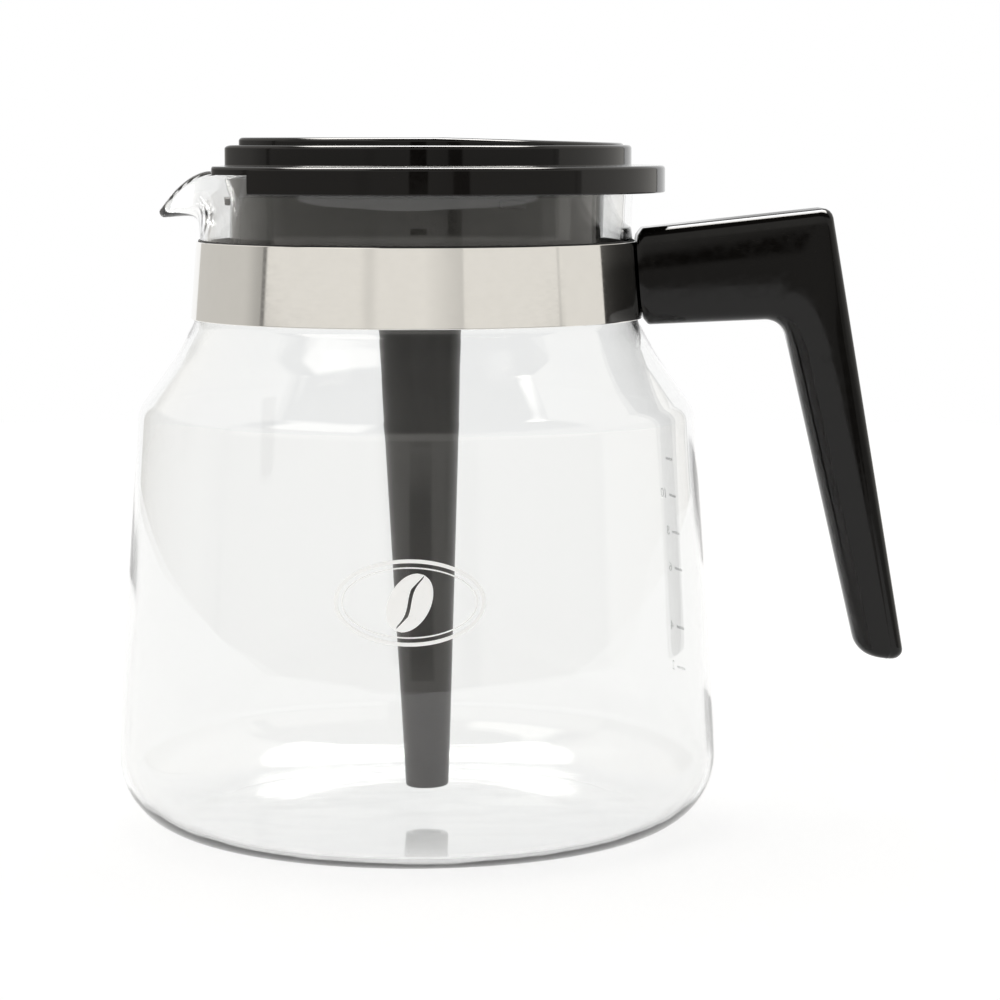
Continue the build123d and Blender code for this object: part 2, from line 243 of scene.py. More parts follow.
# The inner face lies one wall thickness in from the outer one, square to it.
up_wall = np.gradient(outer, axis=0)
round_wall = np.roll(outer, -1, axis=1) - np.roll(outer, 1, axis=1)
square = np.cross(round_wall, up_wall)
square /= np.linalg.norm(square, axis=-1)[..., None]
height = outer[..., 2]
wall = glass_wall + (glass_floor - glass_wall) * np.clip(1 - height / 12, 0, 1) ** 2
drift = np.sin(3 * jug_angle + height / 23) * np.sin(height / 17 + 1.3 * np.sin(2 * jug_angle))
wall = wall + 0.13 * drift * np.clip((height - 8) / 20, 0, 1) * np.clip((126 - height) / 20, 0, 1)
wall = wall + 0.8 * np.clip((height - 122) / 20, 0, 1)
wall = wall + 0.5 * drawn * np.clip((height - spout_foot) / 5, 0, 1)
inner = outer - square * wall[..., None]
turn = np.linspace(0, np.pi, 11)[1:-1, None, None]
run_out = up_wall[-1] / np.linalg.norm(up_wall[-1], axis=-1)[:, None]
middle = (outer[-1] + inner[-1]) / 2
bead = middle + wall[-1][:, None] / 2 * (np.cos(turn) * square[-1] + np.sin(turn) * run_out)
glass_finish, glass = finish(
    "jug_glass",
    Base_Color=(0.945, 0.949, 0.947, 1),
    Roughness=0.0,
    IOR=1.474,
    Transmission_Weight=1.0,
)
tree = glass_finish.node_tree
relief(tree, glass, noise(tree, 38, 1.5, (1, 1, 0.45)), 0.00012)
glass_jug = piece(
    "glass_jug_blown",
    [shell(np.concatenate([outer, bead, inner[::-1]]), (0, 0, 0), (0, 0, glass_floor))],
    glass_finish,
    sharp=80,
)
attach(glass_jug, "jug")
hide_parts("glass_jug", "glass_neck")

# ------------------------------------------------------------------ Badge on the jug
# A plain oval with a coffee bean, printed in white enamel and fired on. It stands a tenth
# of a millimetre proud of the glass, in front at half height.
badge_height = 64.9
enamel_depth = 0.12


def on_front(across, height, lift):
    """Point on the front of the glass: at its offset from the middle and its height, out at
    the wall's radius plus the lift."""
    radius = np.interp(height, outline[:, 1], outline[:, 0]) + lift
    return np.stack([across, -np.sqrt(radius**2 - across**2), height], axis=-1)


def enamel_patch(across, height):
    """Thin plate on the front of the glass inside a closed line: the line at the glass, the
    same line at the enamel's height, then smaller copies of it towards its middle."""
    centre = np.array([across.mean(), height.mean()])
    shrink = np.array([1, 1, 0.97, 0.66, 0.33])[:, None]
    lift = np.array([-0.05, 0.8, 1, 1, 1])[:, None] * enamel_depth
    rings = on_front(centre[0] + (across - centre[0]) * shrink,
                     centre[1] + (height - centre[1]) * shrink, lift)
    return shell(rings, on_front(centre[0], centre[1], -0.05 * enamel_depth),
                 on_front(centre[0], centre[1], enamel_depth))


def oval_line(half_width, half_height, line):
    """Raised oval line: four rings, out and in at the glass and at the enamel's height."""
    angle = np.linspace(0, 2 * np.pi, 160, endpoint=False)
    inset = np.array([0, 0.04, line - 0.04, line])[:, None]
    lift = np.array([-0.05, 1, 1, -0.05])[:, None] * enamel_depth
    return shell(on_front((half_width - inset) * np.cos(angle),
                          badge_height + (half_height - inset) * np.sin(angle), lift), loop=True)


def half_bean(side):
    """Half of the bean: from its bowed slit out to the ellipse, turned by the bean's tilt."""
    span = np.linspace(-1, 1, 40)
    back = span[::-1]
    slit = side * 0.42 + 0.75 * np.sin(np.pi * span)
    along = np.concatenate([7.2 * span * 0.985, 7.2 * back])
    out = np.concatenate([slit * (1 - span**8), side * 4.8 * np.sqrt(1 - back**2 * 0.999)])
    tilt = math.radians(62)
    return enamel_patch(along * math.cos(tilt) - out * math.sin(tilt),
                        badge_height + along * math.sin(tilt) + out * math.cos(tilt))


# The enamel is given a faint glow by emission: painted light that brightens the badge, since enamel
# is no lamp.
badge_finish, enamel = finish(
    "white_enamel",
    Roughness=0.35,
    Emission_Color=(1, 1, 1, 1),
    Emission_Strength=0.16,
)
tree = badge_finish.node_tree
fleck = noise(tree, 2600, 3)
tree.links.new(two_tone(tree, remap(tree, fleck, 0.3, 0.5, 0, 1), (0.74, 0.75, 0.75),
                        (0.9, 0.9, 0.89)), enamel.inputs["Base Color"])
relief(tree, enamel, fleck, 0.00003)
badge = piece(
    "jug_emblem_enamel",
    [oval_line(17.5, 10.0, 0.9), oval_line(15.7, 8.2, 0.35), half_bean(1), half_bean(-1)],
    badge_finish,
)
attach(badge, "jug")
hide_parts("jug_emblem")

# ------------------------------------------------------------------ Scale on the jug
# Six strokes with plain numbers in grey enamel, printed beside the handle so that they are
# read from the far side.
stroke_heights = np.array((34.9, 45.2, 60.2, 69.7, 79.5, 89.3))
scale_azimuth = math.radians(19)


def on_side(along, height, lift):
    """Point on the glass beside the handle: an arc length along from the scale's middle."""
    radius = np.interp(height, outline[:, 1], outline[:, 0]) + lift
    angle = scale_azimuth + along / 73.0
    return np.stack([radius * np.cos(angle), radius * np.sin(angle), height + 0 * radius], axis=-1)


def stroke(level, half_length, half_line):
    """Stroke with round ends: a stadium line at the glass, at the enamel and shrunk inwards."""
    angle = np.linspace(0, 2 * np.pi, 32, endpoint=False)
    ends = np.where(np.cos(angle) >= 0, 1, -1) * (half_length - half_line)
    shrink = np.array([1, 1, 0.5])[:, None]
    lift = np.array([-0.05, 1, 1])[:, None] * enamel_depth
    along = (ends + half_line * np.cos(angle)) * shrink
    up = level + half_line * np.sin(angle) * shrink
    return shell(on_side(along, up, lift), on_side(0.0, level, -0.05 * enamel_depth),
                 on_side(0.0, level, enamel_depth))


def number_plate(text, level):
    """Number drawn flat in the plain built-in type, then wrapped on the glass."""
    drawn_type = bpy.data.curves.new("number", "FONT")
    drawn_type.body = text
    drawn_type.size = 3.6
    drawn_type.align_x = "LEFT"
    drawn_type.align_y = "CENTER"
    drawn_type.extrude = 0.05
    drawn_type.resolution_u = 3
    holder = bpy.data.objects.new("number", drawn_type)
    bpy.context.scene.collection.objects.link(holder)
    mesh = bpy.data.meshes.new_from_object(holder)
    bpy.data.objects.remove(holder)
    flat = np.empty(len(mesh.vertices) * 3)
    mesh.vertices.foreach_get("co", flat)
    flat = flat.reshape(-1, 3)
    placed = on_side(4.2 + flat[:, 0], level + flat[:, 1], 0.055 + flat[:, 2]) * MM
    mesh.vertices.foreach_set("co", placed.ravel())
    return mesh


# The grey enamel glows by emission: painted light that lightens the strokes and numbers, which are
# seen through the glass on their unlit side.
scale_finish, enamel = finish("grey_enamel", Roughness=0.4, Emission_Color=(1, 1, 1, 1),
                              Emission_Strength=0.32)
tree = scale_finish.node_tree
fleck = noise(tree, 2200, 3)
tree.links.new(two_tone(tree, remap(tree, fleck, 0.3, 0.55, 0, 1), (0.5, 0.51, 0.52),
                        (0.66, 0.67, 0.68)), enamel.inputs["Base Color"])
relief(tree, enamel, fleck, 0.00003)
scale = piece(
    "volume_marks_enamel",
    [stroke(level, 2.6, 0.35) for level in stroke_heights],
    scale_finish,
)
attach(scale, "jug")
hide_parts("volume_marks")
for text, level in zip(("2", "4", "6", "8", "10"), stroke_heights):
    mesh = number_plate(text, level)
    mesh.materials.clear()
    mesh.materials.append(scale_finish)
    figure = bpy.data.objects.new("volume_number_" + text, mesh)
    bpy.context.scene.collection.objects.link(figure)
    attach(figure, "jug")

# ------------------------------------------------------------------ Liner
# A thin dark rubber strip between the steel and the glass. It takes up the glass's unevenness
# and shows only as a dark line above the band.
liner_low, liner_high = 126.7, 145.85
liner_out = band_radius(np.array((liner_low, liner_high))) - band_sheet - 0.02
liner_section = rounded_line(
    [(liner_out[0] - 0.18, liner_low), (liner_out[0], liner_low), (liner_out[1], liner_high),
     (liner_out[1] - 0.36, liner_high), (liner_out[0] - 0.36, liner_low),
     (liner_out[0] - 0.18, liner_low)],
    [0.1, 0.12, 0.12, 0.1],
    4,
)[:-1]
liner_finish, rubber = finish("liner_rubber", Roughness=0.62, Specular_IOR_Level=0.35)
tree = liner_finish.node_tree
mottle = noise(tree, 900, 4)
tree.links.new(two_tone(tree, mottle, (0.02, 0.02, 0.021), (0.045, 0.044, 0.043)),
               rubber.inputs["Base Color"])
relief(tree, rubber, mottle, 0.00005)
liner = piece("band_liner_strip", [shell(round_about(liner_section, crowded(160, [0], 1, 0)),
                                         loop=True)], liner_finish)
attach(liner, "jug")
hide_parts("band_liner")

# ------------------------------------------------------------------ Neck band
# A polished stainless strip, half a millimetre thick, rolled to the neck's cone. Its two ends
# turn out into the handle and curl into eyes, one above the other, round the clamp screw.
screw_x = 63.7
ear_side = 2.4
eye_angle = np.radians(np.linspace(-150, 90, 33))
upper_eye = np.stack([screw_x + ear_side * np.cos(eye_angle), ear_side * np.sin(eye_angle)], axis=1)
lower_eye = (upper_eye * (1, -1))[::-1]
middle_radius = (band_low_radius + band_high_radius) / 2 - band_sheet / 2
ear_root = math.asin((ear_side + 0.6) / middle_radius)
hoop_angle = np.linspace(ear_root, 2 * np.pi - ear_root, 257)
hoop = middle_radius * np.stack([np.cos(hoop_angle), np.sin(hoop_angle)], axis=1)
ear_x = np.linspace(screw_x - 0.5, middle_radius + 0.7, 12)
upper_ear = np.stack([ear_x, 0 * ear_x + ear_side], axis=1)
lower_ear = (upper_ear * (1, -1))[::-1]
strip = np.concatenate([upper_eye, upper_ear, hoop, lower_ear, lower_eye])
ends = len(upper_eye) + len(upper_ear)
rank = np.arange(len(strip))
from_start = np.clip((rank - ends + 3) / 3, 0, 1)
from_end = np.clip((len(strip) - ends + 2 - rank) / 3, 0, 1)
strip_low = 126.5 + (136.35 - 126.5) * (1 - from_start) + (130.0 - 126.5) * (1 - from_end)
strip_high = 145.5 - (145.5 - 142.4) * (1 - from_start) - (145.5 - 136.05) * (1 - from_end)
run = np.gradient(strip, axis=0)
run /= np.linalg.norm(run, axis=1)[:, None]
outward = np.stack([run[:, 1], -run[:, 0]], axis=1)
edge = 0.16
corner = np.radians(np.linspace(0, 90, 5))
level_in = np.array([-1.2, -0.3])
side_out = np.concatenate([0 * level_in, -edge + edge * np.cos(corner),
                           -band_sheet + edge - edge * np.sin(corner), 0 * level_in - band_sheet,
                           0 * level_in - band_sheet, -band_sheet + edge - edge * np.cos(corner),
                           -edge + edge * np.sin(corner), 0 * level_in])
side_up = np.concatenate([level_in, -edge + edge * np.sin(corner), -edge + edge * np.cos(corner),
                          level_in[::-1], -level_in, edge - edge * np.sin(corner),
                          edge - edge * np.cos(corner), -level_in[::-1]])
at_top = np.repeat([1, 0], len(side_up) // 2)
strip_up = np.where(at_top, strip_high[:, None], strip_low[:, None]) + side_up
on_hoop = np.minimum(from_start, from_end)[:, None]
swell = (band_radius(strip_up) - (band_low_radius + band_high_radius) / 2) * on_hoop
strip_out = side_out + band_sheet / 2 + swell
strip_rings = np.concatenate(
    [strip[:, None] + outward[:, None] * strip_out[..., None], strip_up[..., None]], axis=-1
)
steel_finish, steel = finish(
    "band_steel", Metallic=1.0, Roughness=0.07, Specular_IOR_Level=0.5
)
tree = steel_finish.node_tree
tree.links.new(two_tone(tree, noise(tree, 260, 3), (0.86, 0.845, 0.815), (0.9, 0.885, 0.855)),
               steel.inputs["Base Color"])
tree.links.new(remap(tree, noise(tree, 420, 5, (1, 1, 3)), 0.35, 0.7, 0.045, 0.1),
               steel.inputs["Roughness"])
relief(tree, steel, noise(tree, 22, 1, (1, 1, 0.6)), 0.00004)
band = piece(
    "neck_band_strip",
    [shell(strip_rings, strip_rings[0].mean(axis=0), strip_rings[-1].mean(axis=0))],
    steel_finish,
)
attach(band, "jug")
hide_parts("neck_band")

# ------------------------------------------------------------------ Handle
# Moulded in one piece in glossy black phenolic plastic: a deep arm, hollowed at its end to the
# band's cone, that turns into a slimmer grip. Its upper edges are tight and its lower ones full.
handle_top = rounded_line(
    [(54.0, 146.3), (55.7, 148.75), (102.3, 153.9), (121.6, 41.25), (110.05, 42.35)],
    [0.5, 2.8, 2.4],
    0.6,
)
handle_under = rounded_line(
    [(55.5, 127.0), (57.4, 124.95), (90.6, 126.3), (110.05, 42.35), (121.6, 41.25)],
    [0.5, 5.5, 6.0],
    0.6,
)
heel = np.array((121.6, 41.25))
foot_normal = np.array((1.1, 11.55)) / math.hypot(1.1, 11.55)


def grip_point(line, depth):
    """Point where a side line of the grip lies at a depth above its foot."""
    depths = (line - heel) @ foot_normal
    last = int(np.argmax(depths < 1e-6)) if (depths < 1e-6).any() else len(line)
    low = slice(int(np.argmax(line[:, 0] > 92)), last)
    order = np.argsort(depths[low])
    known, places = depths[low][order], line[low][order]
    return np.stack([np.interp(depth, known, places[:, k]) for k in (0, 1)], axis=1)


foot_fan = 6 - 6 * np.sin(np.linspace(0, np.pi / 2, 18))
grip_depth = np.concatenate([np.linspace(72, 6.2, 56), foot_fan])
grip_over = grip_point(handle_top, grip_depth)
grip_under = grip_point(handle_under, grip_depth)


def between(line, start, stop, count):
    """Points evenly along a line from the one nearest to start to the one nearest to stop."""
    first = int(np.argmin(np.linalg.norm(line - start, axis=1)))
    last = int(np.argmin(np.linalg.norm(line - stop, axis=1)))
    part = np.concatenate([[start], line[first + 1:last], [stop]])
    length = np.concatenate([[0], np.cumsum(np.linalg.norm(np.diff(part, axis=0), axis=1))])
    even = np.linspace(0, length[-1], count + 2)[1:-1]
    return np.stack([np.interp(even, length, part[:, k]) for k in (0, 1)], axis=1)


arm_end_over, arm_end_under = np.array((97.0, 153.31)), np.array((84.0, 126.03))
over = np.concatenate([handle_top[:1], between(handle_top, handle_top[0], arm_end_over, 56),
                       between(handle_top, arm_end_over, grip_over[0], 44), grip_over])
under = np.concatenate([handle_under[:1], between(handle_under, handle_under[0], arm_end_under, 56),
                        between(handle_under, arm_end_under, grip_under[0], 44), grip_under])
pace = np.linalg.norm(np.diff((over + under) / 2, axis=0), axis=1)
travel = np.concatenate([[0], np.cumsum(pace)])
half_width = np.interp(travel, (0, 40, 75, travel[-1]), (9.0, 8.5, 8.2, 8.0))
foot_depth = np.clip(((over + under) / 2 - heel) @ foot_normal, 0, None)
half_width = half_width - 2.3 + np.sqrt(2.3**2 - (2.3 - np.clip(foot_depth, 0, 2.3)) ** 2)
span = np.linalg.norm(over - under, axis=1)
upper_round = np.minimum(2.8, span * 0.3)
lower_round = np.minimum(np.interp(travel, (0, 42, 62), (4.6, 4.8, 7.6)), span * 0.6)
lower_round = np.minimum(lower_round, half_width * 0.97)
upper_round = np.minimum(upper_round, half_width * 0.9)
dish = 0.7 * np.sin(np.pi * np.clip((travel - 6) / 44, 0, 1)) ** 2
quarter = np.radians(np.linspace(0, 90, 9))


def handle_section(over, under, half_width, upper_round, lower_round, dish):
    """Closed line of one section: up one side, over the top and down the other, with tight
    arcs at the upper edge and full ones at the lower, the sides crowned a little and the
    top hollowed by the dish."""
    rise = np.linalg.norm(over - under, axis=1)[:, None]
    w, u, d = half_width[:, None], upper_round[:, None], lower_round[:, None]
    flat = np.linspace(0, 1, 14)[1:-1]
    side_up = d + (rise - u - d) * flat
    crown = 0.25 * np.sin(np.pi * flat)
    right = np.concatenate(
        [w - d + d * np.sin(quarter), w + crown, w - u + u * np.cos(quarter)], axis=1)
    lift = np.concatenate(
        [d - d * np.cos(quarter), side_up, rise - u + u * np.sin(quarter)], axis=1)
    top_across = np.linspace(1, -1, 15)[1:-1] * (w - u)
    top_lift = rise - dish[:, None] * np.cos(np.linspace(1, -1, 15)[1:-1] * np.pi / 2) ** 2
    foot_across = np.linspace(-1, 1, 9)[1:-1] * (w - d)
    across = np.concatenate([right, top_across, -right[:, ::-1], foot_across], axis=1)
    lift = np.concatenate([lift, top_lift, lift[:, ::-1], 0 * foot_across], axis=1)
    place = under[:, None] + (over - under)[:, None] * (lift / rise)[..., None]
    return np.stack([place[..., 0], across, place[..., 1]], axis=-1)


handle_rings = handle_section(over, under, half_width, upper_round, lower_round, dish)
end_ring = handle_rings[0]
end_middle = np.array([54.5, 0, (end_ring[:, 2].min() + end_ring[:, 2].max()) / 2])
inward = end_middle + (end_ring - end_middle) * np.array([0.3, 0.6, 0.85, 0.99])[:, None, None]
handle_rings = np.concatenate([inward, handle_rings])
saddle = np.sqrt((band_radius(handle_rings[..., 2]) + 0.5) ** 2 - handle_rings[..., 1] ** 2)
handle_rings[:5, :, 0] = saddle[:5]
handle_rings[..., 0] = np.maximum(handle_rings[..., 0], saddle)
near_pole = np.array([band_radius(end_middle[2]) + 0.5, 0, end_middle[2]])
handle_finish, plastic = finish("handle_plastic", Roughness=0.1, Specular_IOR_Level=0.3)
tree = handle_finish.node_tree
tree.links.new(two_tone(tree, noise(tree, 60, 3), (0.0034, 0.003, 0.0026), (0.0046, 0.004, 0.0035)),
               plastic.inputs["Base Color"])
tree.links.new(remap(tree, noise(tree, 500, 5), 0.35, 0.75, 0.05, 0.13),
               plastic.inputs["Roughness"])
relief(tree, plastic, noise(tree, 40, 1.5), 0.00003)
handle = piece("handle_moulding", [shell(handle_rings, near_pole, handle_rings[-1].mean(axis=0))],
               handle_finish, sharp=50)


def hollow(made, low, high, turned=False):
    """Cuts a box, or a round hole of the box's width, out of a piece."""
    low, high = np.array(low), np.array(high)
    if turned:
        angle = np.linspace(0, 2 * np.pi, 48, endpoint=False)
        half = (high - low) / 2
        ring = np.stack([half[0] * np.cos(angle), half[1] * np.sin(angle)], axis=1)
        ring = ring + (low + high)[:2] / 2
    else:
        ring = np.array([(low[0], low[1]), (high[0], low[1]),
                         (high[0], high[1]), (low[0], high[1])])
    rings = np.stack([np.insert(ring, 2, level, axis=1) for level in (low[2], high[2])])
    centre = (low + high) / 2
    low_pole, high_pole = (centre[0], centre[1], low[2]), (centre[0], centre[1], high[2])
    cutter = piece("cutter", [shell(rings, low_pole, high_pole)], handle_finish, sharp=30)
    cut = made.modifiers.new("cut", "BOOLEAN")
    cut.operation = "DIFFERENCE"
    cut.solver = "EXACT"
    cut.object = cutter
    bpy.context.view_layer.update()
    finished = made.evaluated_get(bpy.context.evaluated_depsgraph_get())
    result = bpy.data.meshes.new_from_object(finished)
    made.modifiers.clear()
    made.data = result
    bpy.data.objects.remove(cutter)


hollow(handle, (50, -3.7, 129.2), (68.4, 3.7, 143.3))
hollow(handle, (screw_x - 3.6, -3.6, 143.2), (screw_x + 3.6, 3.6, 146.6))
hollow(handle, (screw_x - 2.2, -2.2, 126), (screw_x + 2.2, 2.2, 147.6), turned=True)
hollow(handle, (screw_x - 3.7, -3.7, 120), (screw_x + 3.7, 3.7, 128), turned=True)
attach(handle, "jug")
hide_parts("handle")

# ------------------------------------------------------------------ Clamp screw, washer and nut
# Zinc-plated steel: a cross-slotted screw pulls the band's two eyes together from below, over
# a spring washer, into a square nut in the handle.
zinc_finish, zinc = finish("fastener_steel", Metallic=1.0, Roughness=0.3)
tree = zinc_finish.node_tree
tree.links.new(two_tone(tree, noise(tree, 700, 4), (0.52, 0.52, 0.53), (0.66, 0.66, 0.65)),
               zinc.inputs["Base Color"])
tree.links.new(remap(tree, noise(tree, 1500, 3), 0.3, 0.7, 0.22, 0.4), zinc.inputs["Roughness"])
for name in ("clamp_screw", "spring_washer", "square_nut"):
    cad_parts[name].data.materials.clear()
    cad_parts[name].data.materials.append(zinc_finish)

# ------------------------------------------------------------------ Lid cover
# Moulded in black polypropylene: a flange that lies on the rim, a lip round it, a ring wall on top
# for the insert and a skirt in the neck, painted a lighter grey as a painted reflection. A flat and
# a gap in the lip clear the spout.
lid_turns = np.arccos(np.array((-47.7 / 61.5, -45.4 / 53.2, -38.4 / 61.5)))
lid_angle = crowded(440, np.concatenate([lid_turns, -lid_turns]), 0.03, 14)


def flatted(radius, flat, angle):
    """Reach of a circle cut off by a flat across -X: at each angle the smaller of the radius
    and the way to the flat, blended where they cross by a high power mean."""
    facing = np.clip(-np.cos(angle), 0.02, None)
    return (radius**-90.0 + (flat / facing) ** -90.0) ** (-1 / 90.0)


def flatted_rings(radius, flat, height, angle):
    """Rings of a section whose every point has its own radius, flat and height."""
    reach = flatted(radius[:, None], flat[:, None], angle)
    return np.stack([reach * np.cos(angle), reach * np.sin(angle), height + 0 * reach], axis=-1)


lid_line = rounded_line(
    [(44.9, 163.2), (44.9, 164.1), (51.6, 164.1), (51.6, 169.1), (53.2, 169.1), (53.2, 164.1),
     (61.5, 164.1), (61.5, 157.5), (59.5, 157.5), (59.5, 162.3), (46.7, 162.3), (45.6, 129.0),
     (43.8, 129.0), (44.9, 162.0), (44.9, 163.2)],
    [0.3, 0.3, 0.5, 0.9, 0.4, 0.9, 0.35, 0.35, 0.4, 0.5, 0.4, 0.4, 0.2],
    2.2,
)[:-1]
# The flat lies at 42.2 inside the ring wall, 45.4 outside it and 47.7 on the flange's edge;
# the skirt stays round.
zone_height = lid_line[:, 1]
zone_radius = lid_line[:, 0]
lid_flat = np.interp(zone_radius, (44.9, 51.6, 53.2, 55.5, 61.5), (42.2, 42.2, 45.4, 46.2, 47.7))
round_parts = (zone_radius < 47.5) & (zone_height < 163)
lid_flat = np.where(round_parts, 400.0, lid_flat)
lid_rings = flatted_rings(zone_radius, lid_flat, zone_height[:, None], lid_angle)
at_lip = (61.5 * np.cos(lid_angle) > -38.4)[None, :]
hanging = (zone_height < 162.3)[:, None] & (zone_radius > 55)[:, None]
shallow = 162.3 - (162.3 - zone_height[:, None]) * 0.04
lid_rings[..., 2] = np.where(hanging & ~at_lip, shallow, lid_rings[..., 2])


def lug(azimuth):
    """Small rounded block that reaches from the skirt towards the glass: a box whose corners are
    drawn in by a power of 8."""
    across = np.linspace(0, 2 * np.pi, 40, endpoint=False)
    square = (np.abs(np.cos(across)) ** 8 + np.abs(np.sin(across)) ** 8) ** (-1 / 8)
    side, up = square * np.cos(across) * 3.5, square * np.sin(across) * 1.0
    reach = np.array([44.9, 47.0, 47.35, 47.5])[:, None]
    shrink = np.array([1, 1, 0.95, 0.85])[:, None]
    x, y, z = reach + 0 * side, side * shrink, 155.2 + up * shrink
    turned = np.stack([x * math.cos(azimuth) - y * math.sin(azimuth),
                       x * math.sin(azimuth) + y * math.cos(azimuth), z], axis=-1)
    tip = (47.5 * math.cos(azimuth), 47.5 * math.sin(azimuth), 155.2)
    root = (44.9 * math.cos(azimuth), 44.9 * math.sin(azimuth), 155.2)
    return shell(turned, root, tip)


lid_finish, plastic = finish("lid_plastic", Roughness=0.05, Specular_IOR_Level=0.4, IOR=1.49)
tree = lid_finish.node_tree
place = tree.nodes.new("ShaderNodeTexCoord")
place_split = tree.nodes.new("ShaderNodeSeparateXYZ")
tree.links.new(place.outputs["Object"], place_split.inputs[0])
# Below 156.5 mm the skirt is painted a lighter grey: a painted reflection standing in for the pale
# veil that the glass lays over it. Only the colour changes there, not the roughness.
skirt_painted_veil_share = remap(tree, place_split.outputs["Z"], 0.1565, 0.157, 1, 0)
tone = tree.nodes.new("ShaderNodeMix")
tone.data_type = "RGBA"
tree.links.new(skirt_painted_veil_share, tone.inputs["Factor"])
tree.links.new(two_tone(tree, noise(tree, 45, 3), (0.004, 0.0035, 0.003), (0.006, 0.005, 0.0045)),
               tone.inputs[6])
tree.links.new(two_tone(tree, noise(tree, 70, 3), (0.06, 0.057, 0.052), (0.09, 0.086, 0.079)),
               tone.inputs[7])
tree.links.new(tone.outputs[2], plastic.inputs["Base Color"])
tree.links.new(remap(tree, noise(tree, 700, 4), 0.3, 0.75, 0.03, 0.08), plastic.inputs["Roughness"])
relief(tree, plastic, noise(tree, 60, 2), 0.00003)
lid = piece(
    "lid_cover_moulding",
    [shell(lid_rings, loop=True)] + [lug(math.radians(turn)) for turn in (180, 300, 60)],
    lid_finish,
)
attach(lid, "lid")
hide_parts("lid_cover")

# ------------------------------------------------------------------ Funnel insert
# Moulded in the same black polypropylene and dropped into the ring wall. Its shallow dish
# runs into a cone and a spigot, and its rim falls a little towards the handle.
insert_turn = math.acos(-41.8 / 51.2)
insert_angle = crowded(320, [insert_turn, -insert_turn], 0.03, 14)
insert_line = rounded_line(
    [(23, 159.0), (39.2, 166.0), (49.2, 166.0), (49.2, 170.9), (51.2, 170.9), (51.2, 164.4),
     (40.8, 164.4), (8.1, 150.4), (8.1, 134), (6.8, 134), (6.8, 152.0), (23, 159.0)],
    [2, 0.6, 0.7, 0.9, 0.6, 1.5, 2, 0.3, 0.3, 2],
    2.0,
)[:-1]
insert_flat = np.where(insert_line[:, 0] < 41.2, 400.0, insert_line[:, 0] - 9.4)
insert_rings = flatted_rings(insert_line[:, 0], insert_flat, insert_line[:, 1:], insert_angle)
fall = 1.3 * np.clip((insert_rings[..., 0] - 6) / 45.2, 0, 1)
share = np.clip((insert_rings[..., 2] - 166.5) / 4.4, 0, 1)
insert_rings[..., 2] -= fall * share
insert = piece("funnel_insert_moulding", [shell(insert_rings, loop=True)], lid_finish)
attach(insert, "funnel")
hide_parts("funnel_insert")

# ------------------------------------------------------------------ Mixing tube
# A long tapered tube in black polypropylene, pushed on the insert's spigot. It leads the fresh
# coffee to the floor of the jug so that the brew mixes from below, and hangs a trifle askew.
tube_top, tube_low = 148.0, 8.6
lean = math.radians(0.7)
tube_length = tube_top - tube_low
tube_foot = 5.35 + 0.0425 * tube_length
tube_line = rounded_line(
    [((tube_foot + 2.0) / 2, tube_length / 2), (tube_foot - 1.7, 0), (tube_foot, 0),
     (5.35, tube_length), (3.7, tube_length), ((tube_foot + 2.0) / 2, tube_length / 2)],
    [0.4, 0.5, 0.8, 0.5],
    3.0,
)[:-1]
tube_angle = np.linspace(0, 2 * np.pi, 96, endpoint=False)
flat_rings = round_about(tube_line, tube_angle)
tube_rings = np.stack(
    [0.5 + flat_rings[..., 0] * math.cos(lean) + flat_rings[..., 2] * math.sin(lean),
     flat_rings[..., 1],
     tube_top + flat_rings[..., 0] * math.sin(lean) - flat_rings[..., 2] * math.cos(lean)],
    axis=-1,
)
tube_finish, plastic = finish("tube_plastic", Roughness=0.3, Specular_IOR_Level=0.4)
tree = tube_finish.node_tree
tree.links.new(two_tone(tree, noise(tree, 80, 4, (1, 1, 0.3)), (0.054, 0.051, 0.048),
                        (0.061, 0.057, 0.054)), plastic.inputs["Base Color"])
tree.links.new(remap(tree, noise(tree, 900, 4, (1, 1, 0.25)), 0.3, 0.75, 0.28, 0.34),
               plastic.inputs["Roughness"])
tube = piece("mixing_tube_moulding", [shell(tube_rings, loop=True)], tube_finish)
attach(tube, "funnel")
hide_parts("mixing_tube")

# ------------------------------------------------------------------ Studio
# A large pale floor and a white tent: bright behind, dimmer at the sides, with pale panels in
# front at eye level and a dark gap over them. The camera sees plain white in the tent's place,
# and a strong lamp overhead shows only in reflections.
floor_finish, paper = finish("studio_floor", Roughness=1.0, Specular_IOR_Level=0.0,
                             Emission_Color=(1, 1, 1, 1), Emission_Strength=0.8)
tree = floor_finish.node_tree
tree.links.new(two_tone(tree, noise(tree, 3, 2), (0.27, 0.27, 0.27), (0.29, 0.29, 0.29)),
               paper.inputs["Base Color"])
floor_angle = np.linspace(0, 2 * np.pi, 96, endpoint=False)
floor_rings = round_about(np.array([(200.0, -0.3), (1200, -0.3), (1200, -30)]), floor_angle)
floor = piece("studio_floor", [shell(floor_rings, (0, 0, -0.3), (0, 0, -30))], floor_finish)

world = bpy.data.worlds.new("studio")
bpy.context.scene.world = world
world.use_nodes = True
sky = world.node_tree
background = sky.nodes["Background"]


def wire(kind, *inputs, **settings):
    """Adds a node to the studio's light, with its settings and its inputs in order."""
    made = sky.nodes.new(kind)
    for name, value in settings.items():
        setattr(made, name, value)
    for socket, value in zip(made.inputs, inputs):
        if isinstance(value, bpy.types.NodeSocket):
            sky.links.new(value, socket)
        elif value is not None:
            socket.default_value = value
    return made.outputs[0]


def sums(operation, *inputs):
    """One step of arithmetic in the studio's light."""
    return wire("ShaderNodeMath", *inputs, operation=operation)


degrees = math.radians(1)


def window(value, low, high, soft):
    """1 between two limits in degrees and 0 outside them, with soft edges."""
    low, high, soft = low * degrees, high * degrees, soft * degrees
    rise = remap(sky, value, low - soft, low + soft, 0, 1, smooth=True)
    fall = remap(sky, value, high - soft, high + soft, 1, 0, smooth=True)
    return sums("MULTIPLY", rise, fall)


